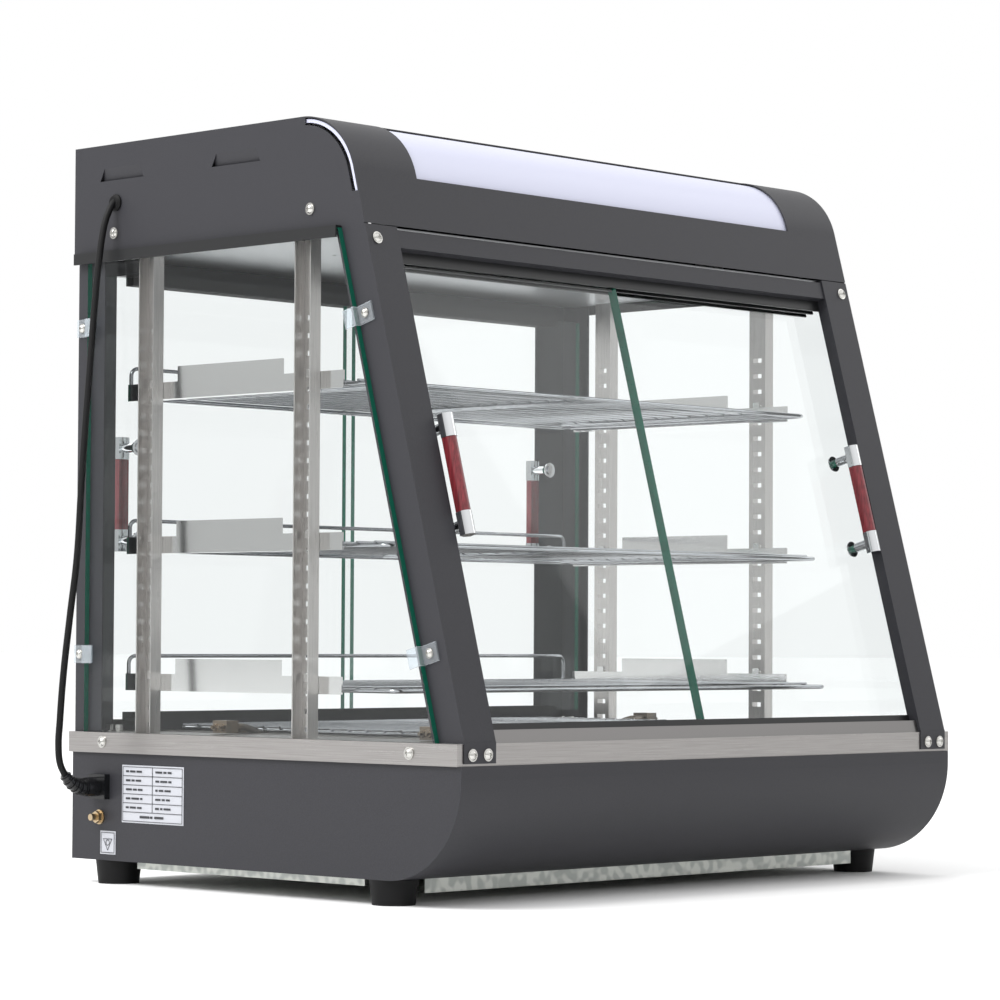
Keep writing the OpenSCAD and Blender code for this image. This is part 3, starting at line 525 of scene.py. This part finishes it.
class CASE_OT_plate_print(bpy.types.Operator):
    """Prints the ruled rows on the rating plate and the mark on the small plate"""

    bl_idname = "case.plate_print"
    bl_label = "Plate print"

    def execute(self, context):
        size = context.scene.case_plate
        bm = bmesh.new()
        width, height = RATING_REAR - RATING_FRONT, RATING_HIGH - RATING_LOW
        middle = (RATING_FRONT + RATING_REAR) / 2
        rows = [RATING_LOW + height * k / RATING_ROWS for k in range(RATING_ROWS + 1)]
        for z in rows:
            block(bm, (PRINT_X, middle, z), (PRINT_DEPTH, width, size.line))
        for y in (RATING_FRONT, RATING_REAR):
            block(bm, (PRINT_X, y, (RATING_LOW + RATING_HIGH) / 2), (PRINT_DEPTH, size.line, height))
        # The middle rule stops above the last row
        split = RATING_HIGH - rows[1]
        block(bm, (PRINT_X, middle, (rows[1] + RATING_HIGH) / 2), (PRINT_DEPTH, size.line, split))
        # Words are plain bars of different lengths, set towards the rear of each cell
        for k, lengths in enumerate(RATING_WORDS):
            z = (rows[1 + k // 2] + rows[2 + k // 2]) / 2
            y = (RATING_REAR if k % 2 else middle) - CELL_MARGIN
            for length in lengths:
                block(bm, (PRINT_X, y - length / 2, z), (PRINT_DEPTH, length, size.bar))
                y -= length + WORD_GAP
        for start, length in LAST_ROW:
            place = (PRINT_X, middle + start, (rows[0] + rows[1]) / 2)
            block(bm, place, (PRINT_DEPTH, length, size.bar * 1.2))
        # The small plate carries a frame, and a ring in a triangle that points down
        for side in (-SMALL_FRAME / 2, SMALL_FRAME / 2):
            block(bm, (PRINT_X, SMALL_PLATE_Y + side, SMALL_PLATE_Z), (PRINT_DEPTH, size.line, SMALL_FRAME))
            block(bm, (PRINT_X, SMALL_PLATE_Y, SMALL_PLATE_Z + side), (PRINT_DEPTH, SMALL_FRAME, size.line))
        upright = Matrix((
            (0, 0, 1, PRINT_X), (1, 0, 0, SMALL_PLATE_Y), (0, -1, 0, SMALL_PLATE_Z), (0, 0, 0, 1)))
        for radius, sides in ((6.6, 3), (2.4, 12)):
            ring = bmesh.ops.create_circle(
                bm, cap_ends=False, radius=radius, segments=sides, matrix=upright)["verts"]
            for edge in {e for v in ring for e in v.link_edges}:
                a, b = (v.co.copy() for v in edge.verts)
                turn = Matrix.Rotation(math.atan2(b.z - a.z, b.y - a.y), 4, "X")
                stroke = block(bm, (0, 0, 0), (PRINT_DEPTH, (b - a).length, size.line))
                bmesh.ops.transform(bm, matrix=Matrix.Translation((a + b) / 2) @ turn, verts=stroke)
            bmesh.ops.delete(bm, geom=ring, context="VERTS")
        mesh_piece("plate_print", bm, "ink")
        return {"FINISHED"}


class CASE_OT_stage(bpy.types.Operator):
    """Sets the pale floor and the soft studio light"""

    bl_idname = "case.stage"
    bl_label = "Studio"

    def execute(self, context):
        size = context.scene.case_stage
        bm = bmesh.new()
        bmesh.ops.create_circle(bm, cap_ends=True, radius=size.floor_radius, segments=64)
        mesh = bpy.data.meshes.new("studio_floor")
        bm.to_mesh(mesh)
        bm.free()
        # Painted studio floor, matt and almost white
        mesh.materials.append(opaque("studio_paint", tuple(size.floor_colour), 0.9))
        floor = bpy.data.objects.new("studio_floor", mesh)
        context.scene.collection.objects.link(floor)
        for name, place, width, share in LIGHTS:
            data = bpy.data.lights.new(name, "AREA")
            data.energy = size.key_power * share
            data.size = width
            light = bpy.data.objects.new(name, data)
            turn = (LIGHT_AIM - Vector(place)).to_track_quat("-Z", "Y").to_matrix().to_4x4()
            light.matrix_world = Matrix.Translation(place) @ turn
            context.scene.collection.objects.link(light)
        world = bpy.data.worlds.new("white_room")
        world.use_nodes = True
        tree = world.node_tree
        tree.nodes.clear()
        # The room seen directly is plain white; as light it is dim low down and bright above
        path = add(tree, "ShaderNodeLightPath")
        seen = add(tree, "ShaderNodeBackground", {"Color": (1, 1, 1, 1), "Strength": 1.0})
        where = add(tree, "ShaderNodeTexCoord")
        split = add(tree, "ShaderNodeSeparateXYZ", {0: where.outputs["Generated"]})
        height = add(tree, "ShaderNodeMapRange", {
            "Value": split.outputs["Z"], "From Min": 0.0, "From Max": 0.7, "To Min": 0.55, "To Max": 1.3})
        glow = add(tree, "ShaderNodeMath", {0: height.outputs[0], 1: size.sky}, operation="MULTIPLY")
        room = add(tree, "ShaderNodeBackground", {"Color": (1, 1, 1, 1), "Strength": glow.outputs[0]})
        both = add(tree, "ShaderNodeMixShader", {
            0: path.outputs["Is Camera Ray"], 1: room.outputs[0], 2: seen.outputs[0]})
        output = add(tree, "ShaderNodeOutputWorld")
        tree.links.new(both.outputs[0], output.inputs["Surface"])
        context.scene.world = world
        context.scene.view_settings.view_transform = "Standard"
        return {"FINISHED"}


class CASE_PT_panel(bpy.types.Panel):
    """Lists the settings and the steps that build the case"""

    bl_idname = "CASE_PT_panel"
    bl_label = "Display Case"
    bl_space_type = "VIEW_3D"
    bl_region_type = "UI"
    bl_category = "Display Case"

    def draw(self, context):
        scene = context.scene
        for group in (scene.case_finish, scene.case_lead, scene.case_plate, scene.case_stage):
            box = self.layout.box()
            for name in group.__annotations__:
                box.prop(group, name)
        for step in STEPS:
            self.layout.operator(step.bl_idname)


SETTINGS = {
    "case_finish": CaseFinishSettings,
    "case_lead": CaseLeadSettings,
    "case_plate": CasePlateSettings,
    "case_stage": CaseStageSettings,
}
STEPS = [CASE_OT_camera, CASE_OT_lamp_lead, CASE_OT_finishes, CASE_OT_plate_print, CASE_OT_stage]


def register():
    for cls in (*SETTINGS.values(), *STEPS, CASE_PT_panel):
        bpy.utils.register_class(cls)
    for name, group in SETTINGS.items():
        setattr(bpy.types.Scene, name, PointerProperty(type=group))


def unregister():
    for name in SETTINGS:
        delattr(bpy.types.Scene, name)
    for cls in (CASE_PT_panel, *reversed(STEPS), *SETTINGS.values()):
        bpy.utils.unregister_class(cls)


def main():
    register()
    for step in STEPS:
        group, name = step.bl_idname.split(".")
        getattr(getattr(bpy.ops, group), name)()
    bpy.context.view_layer.update()


if __name__ == "__main__":
    main()
